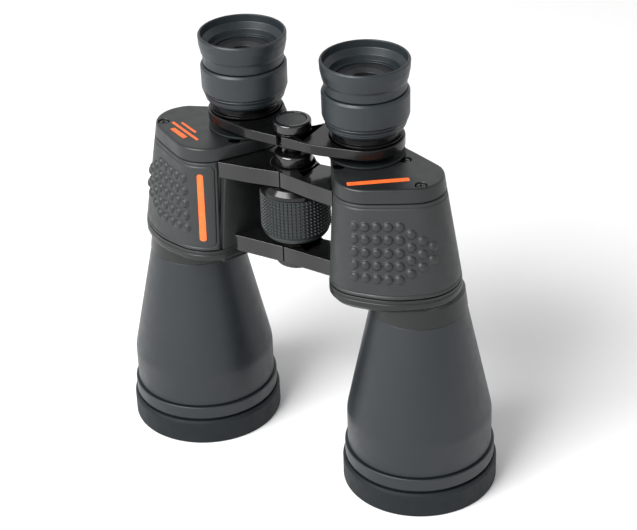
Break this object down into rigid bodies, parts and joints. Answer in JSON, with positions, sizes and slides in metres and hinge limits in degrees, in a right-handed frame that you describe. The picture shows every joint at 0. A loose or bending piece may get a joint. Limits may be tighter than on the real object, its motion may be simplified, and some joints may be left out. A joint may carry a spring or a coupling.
{
  "type": "binoculars",
  "caption": "Porro-prism astronomy binoculars: hinged tapered telescopes, central focus wheel lifting the ocular bridge, rubber armour and flared eyecups.",
  "frame": {"origin": "midway between the two objective axes, on the plane that the bumpers stand on", "axes": "+Z along the telescopes towards the eyepieces, -Y the side that is uppermost in use, +X towards the user's left half"},
  "size_m": [0.2204, 0.0826, 0.2354],
  "materials": {
    "armour_rubber": "fine leather-grained rubber armour with raised round grip bumps",
    "bumper_rubber": "smooth matt rubber",
    "eyepiece_rubber": "smooth satin rubber",
    "wheel_rubber": "moulded rubber with a grid of small square studs",
    "casting_paint": "fine-textured dark grey paint on a casting",
    "barrel_paint": "satin dark grey paint",
    "cover_paint": "fine-textured dark grey paint with an orange accent bar",
    "gloss_black": "polished black",
    "black_metal": "blackened, semi-matt",
    "black_screw": "blackened steel, semi-gloss",
    "black_plastic": "matt",
    "cap_plastic": "fine matt",
    "spindle_steel": "blackened and oiled",
    "spring_steel": "satin",
    "shelf_metal": "blackened, matt",
    "brass": "turned",
    "optical_glass": "polished",
    "coated_glass": "polished with a faint blue-violet anti-reflection coating"
  },
  "bodies": {
    "right_half": {"right_prism_housing": "casting_paint", "right_armour": "armour_rubber", "right_cover_plate": "cover_paint", "right_cover_screw_1": "black_screw", "right_cover_screw_2": "black_screw", "right_cover_screw_3": "black_screw", "right_prism_shelf": "shelf_metal", "right_upper_prism": "optical_glass", "right_lower_prism": "optical_glass", "right_upper_prism_clip": "spring_steel", "right_lower_prism_clip": "spring_steel", "right_objective_barrel": "barrel_paint", "right_objective_end_ring": "barrel_paint", "right_objective_bumper": "bumper_rubber", "right_objective_crown_lens": "coated_glass", "right_objective_flint_lens": "optical_glass", "right_objective_retaining_ring": "black_metal", "right_eyepiece_sleeve": "black_metal", "hinge_bush": "gloss_black", "hinge_pin": "black_metal", "thrust_washer": "brass", "tripod_socket": "brass"},
    "left_half": {"left_prism_housing": "casting_paint", "left_armour": "armour_rubber", "left_cover_plate": "cover_paint", "left_cover_screw_1": "black_screw", "left_cover_screw_2": "black_screw", "left_cover_screw_3": "black_screw", "left_prism_shelf": "shelf_metal", "left_upper_prism": "optical_glass", "left_lower_prism": "optical_glass", "left_upper_prism_clip": "spring_steel", "left_lower_prism_clip": "spring_steel", "left_objective_barrel": "barrel_paint", "left_objective_end_ring": "barrel_paint", "left_objective_bumper": "bumper_rubber", "left_objective_crown_lens": "coated_glass", "left_objective_flint_lens": "optical_glass", "left_objective_retaining_ring": "black_metal", "left_eyepiece_sleeve": "black_metal"},
    "focus_wheel": {"focus_wheel": "gloss_black", "focus_wheel_grip": "wheel_rubber"},
    "right_ocular": {"right_ocular_arm": "casting_paint", "right_eyepiece_tube": "gloss_black", "right_field_lens": "optical_glass", "focus_spindle": "spindle_steel", "spindle_cap": "gloss_black"},
    "left_ocular": {"left_ocular_arm": "casting_paint", "left_eyepiece_tube": "gloss_black", "left_field_lens": "optical_glass", "left_eye_lens_cell": "black_plastic", "left_eye_lens": "coated_glass", "left_ocular_ring": "eyepiece_rubber", "left_eyecup": "eyepiece_rubber"},
    "diopter_cell": {"right_eye_lens_cell": "black_plastic", "right_eye_lens": "coated_glass"},
    "diopter_ring": {"right_ocular_ring": "eyepiece_rubber", "right_eyecup": "eyepiece_rubber"},
    "tripod_cap": {"tripod_cap": "cap_plastic"}
  },
  "joints": [
    {"name": "interpupillary_hinge", "type": "hinge", "parent": "right_half", "child": "left_half", "pos_m": [0, -0.0059, 0.149], "axis": [0, 0, 1], "range_deg": [0, 47]},
    {"name": "focus_wheel_turn", "type": "hinge", "parent": "right_half", "child": "focus_wheel", "pos_m": [0, -0.0059, 0.151], "axis": [0, 0, 1], "range_deg": [-225, 135]},
    {"name": "right_ocular_slide", "type": "slide", "parent": "right_half", "child": "right_ocular", "axis": [0, 0, 1], "range_m": [-0.003, 0.005]},
    {"name": "left_ocular_slide", "type": "slide", "parent": "left_half", "child": "left_ocular", "axis": [0, 0, 1], "range_m": [-0.003, 0.005]},
    {"name": "diopter_turn", "type": "hinge", "parent": "diopter_cell", "child": "diopter_ring", "pos_m": [-0.036, 0.0066, 0.21], "axis": [0, 0, 1], "range_deg": [-60, 60]},
    {"name": "diopter_slide", "type": "slide", "parent": "right_ocular", "child": "diopter_cell", "axis": [0, 0, 1], "range_m": [-0.0015, 0.0015]},
    {"name": "tripod_cap_pull", "type": "slide", "parent": "right_half", "child": "tripod_cap", "axis": [0, 0, -1], "range_m": [0, 0.02]}
  ],
  "couplings": [
    {"joint": "focus_wheel_turn", "follows": "right_ocular_slide", "rad_per_m": -785.4},
    {"joint": "left_ocular_slide", "follows": "right_ocular_slide", "ratio": 1},
    {"joint": "diopter_turn", "follows": "diopter_slide", "rad_per_m": 698.13}
  ]
}
